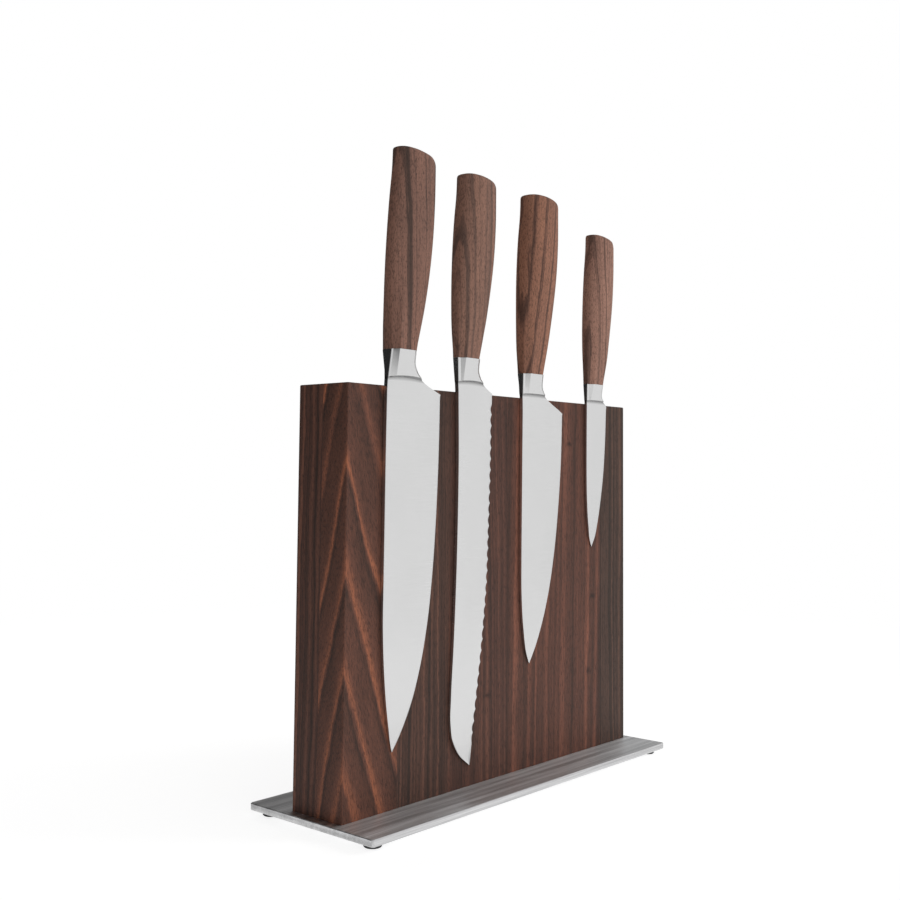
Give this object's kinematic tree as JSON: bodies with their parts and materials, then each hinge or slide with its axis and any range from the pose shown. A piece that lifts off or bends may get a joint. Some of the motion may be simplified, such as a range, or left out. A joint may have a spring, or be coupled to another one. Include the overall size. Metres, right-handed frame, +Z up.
{
  "type": "magnetic knife block",
  "caption": "Free-standing walnut magnetic knife block on a brushed steel plate, with chef's, bread, small chef's and paring knives held upright on its front face.",
  "frame": {"origin": "middle of the footprint, on the surface that the feet stand on", "axes": "+X to the right along the block as seen from its front, +Y to the back, +Z up"},
  "size_m": [0.294, 0.1, 0.387],
  "materials": {
    "block_walnut": "satin",
    "handle_walnut": "matte",
    "beech": "matte",
    "blade_steel": "satin",
    "brushed_plate": "satin",
    "zinc_steel": "satin",
    "mild_steel": "matte",
    "brass": "satin",
    "ferrite": "matte",
    "foot_rubber": "matte"
  },
  "bodies": {
    "rack": {"base_plate": "brushed_plate", "foot_front_left": "foot_rubber", "foot_front_right": "foot_rubber", "foot_rear_left": "foot_rubber", "foot_rear_right": "foot_rubber", "base_screws": "zinc_steel", "threaded_inserts": "brass", "board_dowels": "beech", "front_stave_1": "block_walnut", "front_stave_2": "block_walnut", "front_stave_3": "block_walnut", "front_stave_4": "block_walnut", "front_stave_5": "block_walnut", "rear_stave_1": "block_walnut", "rear_stave_2": "block_walnut", "rear_stave_3": "block_walnut", "rear_stave_4": "block_walnut", "rear_stave_5": "block_walnut", "upper_yoke": "mild_steel", "lower_yoke": "mild_steel", "front_magnets_upper": "ferrite", "front_magnets_lower": "ferrite", "rear_magnets_upper": "ferrite", "rear_magnets_lower": "ferrite"},
    "chefs_knife": {"chefs_knife_blade": "blade_steel", "chefs_knife_handle": "handle_walnut"},
    "bread_knife": {"bread_knife_blade": "blade_steel", "bread_knife_handle": "handle_walnut"},
    "small_chefs_knife": {"small_chefs_knife_blade": "blade_steel", "small_chefs_knife_handle": "handle_walnut"},
    "paring_knife": {"paring_knife_blade": "blade_steel", "paring_knife_handle": "handle_walnut"}
  },
  "joints": [
    {"name": "chefs_knife_pull_off", "type": "slide", "parent": "rack", "child": "chefs_knife", "axis": [0, -1, 0], "range_m": [0, 0.15]},
    {"name": "bread_knife_pull_off", "type": "slide", "parent": "rack", "child": "bread_knife", "axis": [0, -1, 0], "range_m": [0, 0.15]},
    {"name": "small_chefs_knife_pull_off", "type": "slide", "parent": "rack", "child": "small_chefs_knife", "axis": [0, -1, 0], "range_m": [0, 0.15]},
    {"name": "paring_knife_pull_off", "type": "slide", "parent": "rack", "child": "paring_knife", "axis": [0, -1, 0], "range_m": [0, 0.15]}
  ]
}
